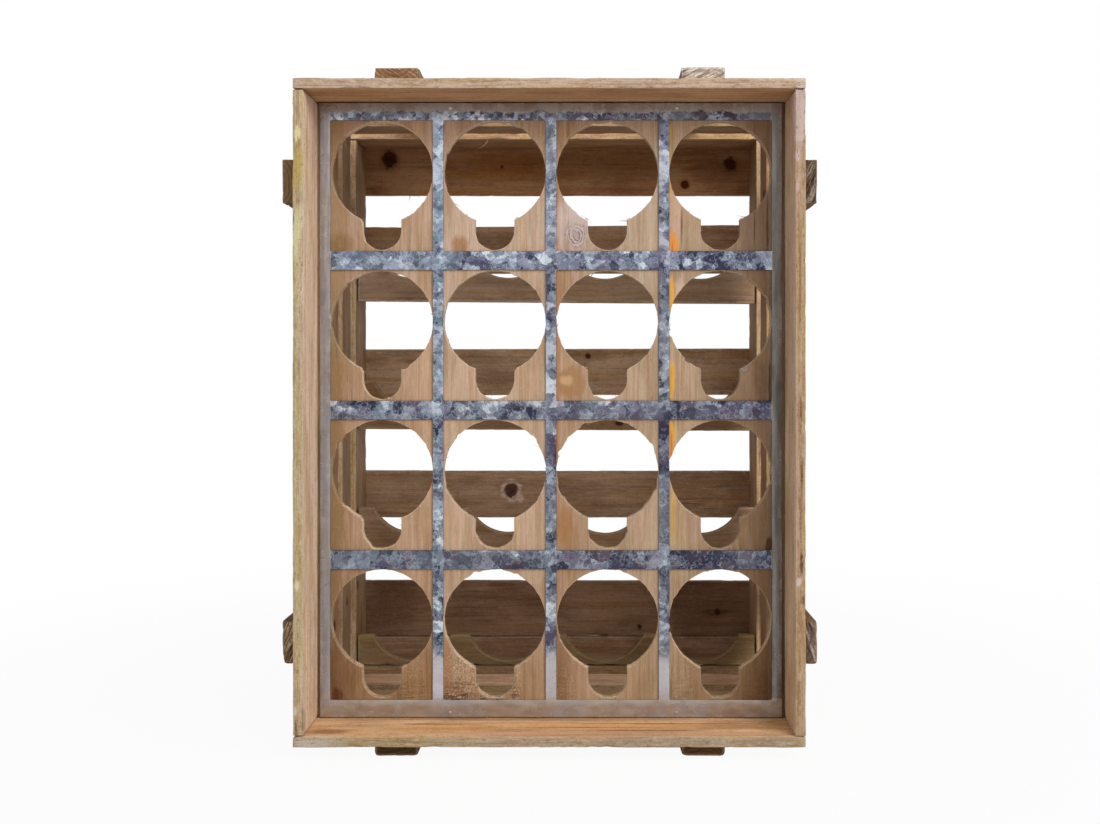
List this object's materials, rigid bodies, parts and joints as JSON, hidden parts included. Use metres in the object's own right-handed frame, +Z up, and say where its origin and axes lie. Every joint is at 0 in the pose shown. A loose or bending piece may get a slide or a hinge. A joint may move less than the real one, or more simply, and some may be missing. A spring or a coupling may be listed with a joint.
{
  "type": "crate wine rack",
  "caption": "Wooden crate wine rack: keyhole openings behind a galvanised steel grid hold bottles lying on their sides, with scalloped cradle rails and slats behind.",
  "frame": {"origin": "middle of the footprint, on the surface that the two lower battens stand on", "axes": "+Z up, +X to the right as seen from the open front, +Y from the open front to the back"},
  "size_m": [0.4546, 0.3098, 0.5856],
  "materials": {
    "crate_wood": "rough sawn fir, aged to a warm tan",
    "batten_wood": "rough sawn fir with dark worn end grain",
    "plank_wood": "light planed pine with fine upright grain",
    "rail_wood": "rough sawn fir, brown",
    "slat_wood": "dark brown stained fir with knots",
    "galvanised_steel": "hot-dip galvanised, with large spangles, dull",
    "nail_steel": "dull wire nails"
  },
  "bodies": {
    "root": {"front_ring_top": "crate_wood", "front_ring_bottom": "crate_wood", "front_ring_left": "crate_wood", "front_ring_right": "crate_wood", "second_ring_top": "crate_wood", "second_ring_bottom": "crate_wood", "second_ring_left": "crate_wood", "second_ring_right": "crate_wood", "third_ring_top": "crate_wood", "third_ring_bottom": "crate_wood", "third_ring_left": "crate_wood", "third_ring_right": "crate_wood", "rear_ring_top": "crate_wood", "rear_ring_bottom": "crate_wood", "rear_ring_left": "crate_wood", "rear_ring_right": "crate_wood", "batten_top_left": "batten_wood", "batten_top_right": "batten_wood", "batten_bottom_left": "batten_wood", "batten_bottom_right": "batten_wood", "batten_left_upper": "batten_wood", "batten_left_lower": "batten_wood", "batten_right_upper": "batten_wood", "batten_right_lower": "batten_wood", "steel_grid": "galvanised_steel", "keyhole_plank_1": "plank_wood", "keyhole_plank_2": "plank_wood", "keyhole_plank_3": "plank_wood", "keyhole_plank_4": "plank_wood", "cradle_rail_1": "rail_wood", "cradle_rail_2": "rail_wood", "cradle_rail_3": "rail_wood", "cradle_rail_4": "rail_wood", "back_slat_1": "slat_wood", "back_slat_2": "slat_wood", "back_slat_3": "slat_wood", "back_slat_4": "slat_wood", "back_slat_5": "slat_wood", "back_slat_6": "slat_wood", "grid_pin_1": "nail_steel", "grid_pin_2": "nail_steel", "grid_pin_3": "nail_steel", "grid_pin_4": "nail_steel", "plank_nail_top_1": "nail_steel", "plank_nail_top_2": "nail_steel", "plank_nail_top_3": "nail_steel", "plank_nail_top_4": "nail_steel", "plank_nail_bottom_1": "nail_steel", "plank_nail_bottom_2": "nail_steel", "plank_nail_bottom_3": "nail_steel", "plank_nail_bottom_4": "nail_steel", "rail_nail_left_1": "nail_steel", "rail_nail_left_2": "nail_steel", "rail_nail_left_3": "nail_steel", "rail_nail_left_4": "nail_steel", "rail_nail_right_1": "nail_steel", "rail_nail_right_2": "nail_steel", "rail_nail_right_3": "nail_steel", "rail_nail_right_4": "nail_steel"}
  },
  "joints": []
}
